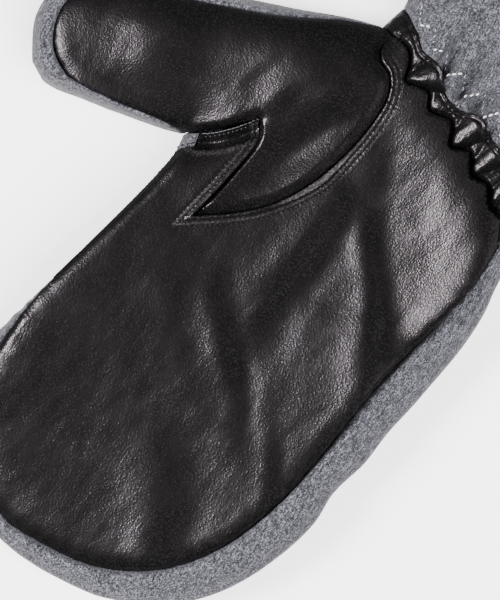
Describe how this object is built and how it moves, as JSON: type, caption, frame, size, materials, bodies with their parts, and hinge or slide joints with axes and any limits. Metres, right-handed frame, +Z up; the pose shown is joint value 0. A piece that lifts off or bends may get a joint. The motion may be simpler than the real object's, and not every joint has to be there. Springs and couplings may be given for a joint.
{
  "type": "heated mitten",
  "caption": "Right-hand winter mitten lying palm up: black leather palm and thumb, grey fabric back, gathered wrist and an open fabric cuff.",
  "frame": {"origin": "centre of the plan box, at the surface that the mitten lies on", "axes": "+X towards the thumb, +Y from the cuff to the fingertips, +Z up from the palm"},
  "size_m": [0.1994, 0.3036, 0.042],
  "materials": {
    "leather": "soft black nappa, satin",
    "fabric": "grey melange softshell, matte"
  },
  "bodies": {
    "root": {"palm_leather": "leather", "thumb_leather": "leather", "wrist_gather_leather": "leather", "back_fabric": "fabric", "thumb_back_fabric": "fabric", "cuff_fabric": "fabric"}
  },
  "joints": []
}
